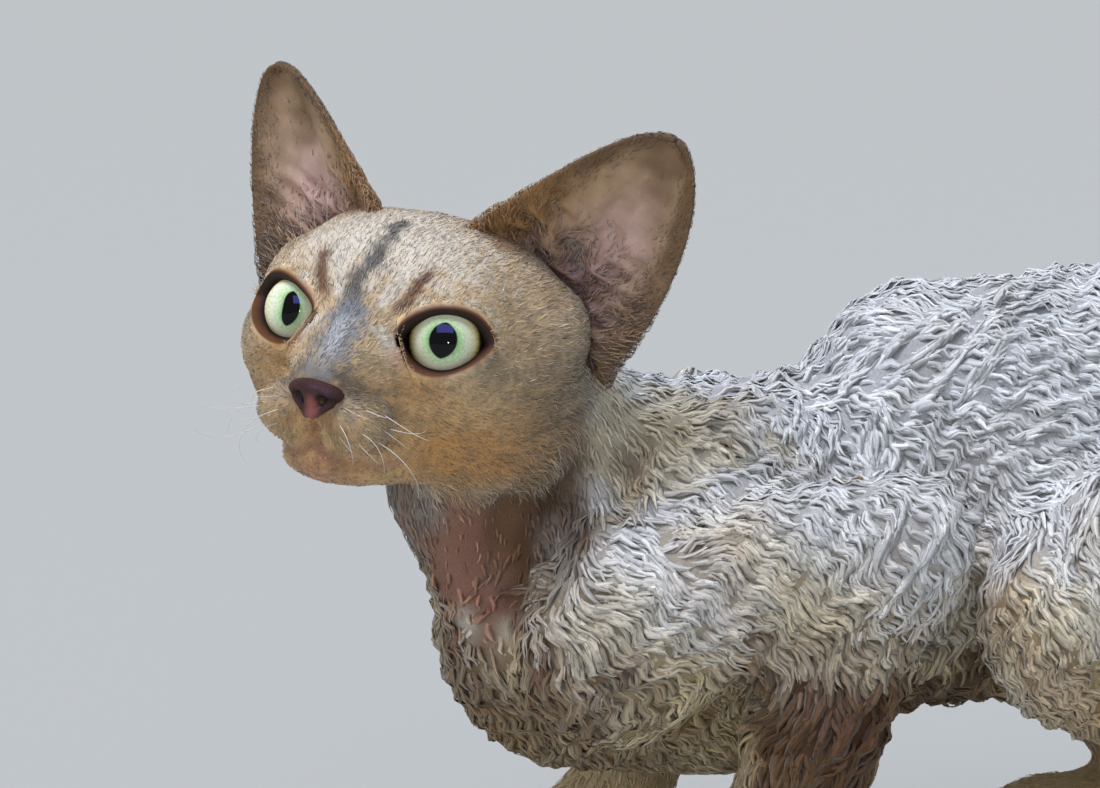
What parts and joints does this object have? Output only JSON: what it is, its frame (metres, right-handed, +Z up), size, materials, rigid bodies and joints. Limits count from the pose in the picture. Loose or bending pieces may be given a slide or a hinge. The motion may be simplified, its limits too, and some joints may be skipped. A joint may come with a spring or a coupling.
{
  "type": "devon rex cat",
  "caption": "Life-size still model of a young devon rex cat, crouched with its elbows high, head raised and turned to its left, tail laid round its left haunch.",
  "frame": {"origin": "on the floor below the middle of the model's box", "axes": "+Z up, the chest faces -Y, +X is the cat's left"},
  "size_m": [0.19, 0.3992, 0.2387],
  "materials": {
    "coat": "short wavy fur, silver grey over fawn, matt",
    "face_coat": "very short fur, fawn and cream with grey, matt",
    "ear_skin": "thin skin with sparse down, satin",
    "nose_leather": "fine-grained, moist",
    "eye": "wet, glossy"
  },
  "bodies": {
    "root": {"head": "face_coat", "nose": "nose_leather", "eye_left": "eye", "eye_right": "eye", "ear_left": "ear_skin", "ear_right": "ear_skin", "neck": "coat", "chest": "coat", "belly": "coat", "rump": "coat", "upper_arm_left": "coat", "upper_arm_right": "coat", "forearm_left": "coat", "forearm_right": "coat", "forepaw_left": "coat", "forepaw_right": "coat", "thigh_left": "coat", "thigh_right": "coat", "shank_left": "coat", "shank_right": "coat", "hindpaw_left": "coat", "hindpaw_right": "coat", "tail_base": "coat", "tail_middle": "coat", "tail_tip": "coat"}
  },
  "joints": []
}
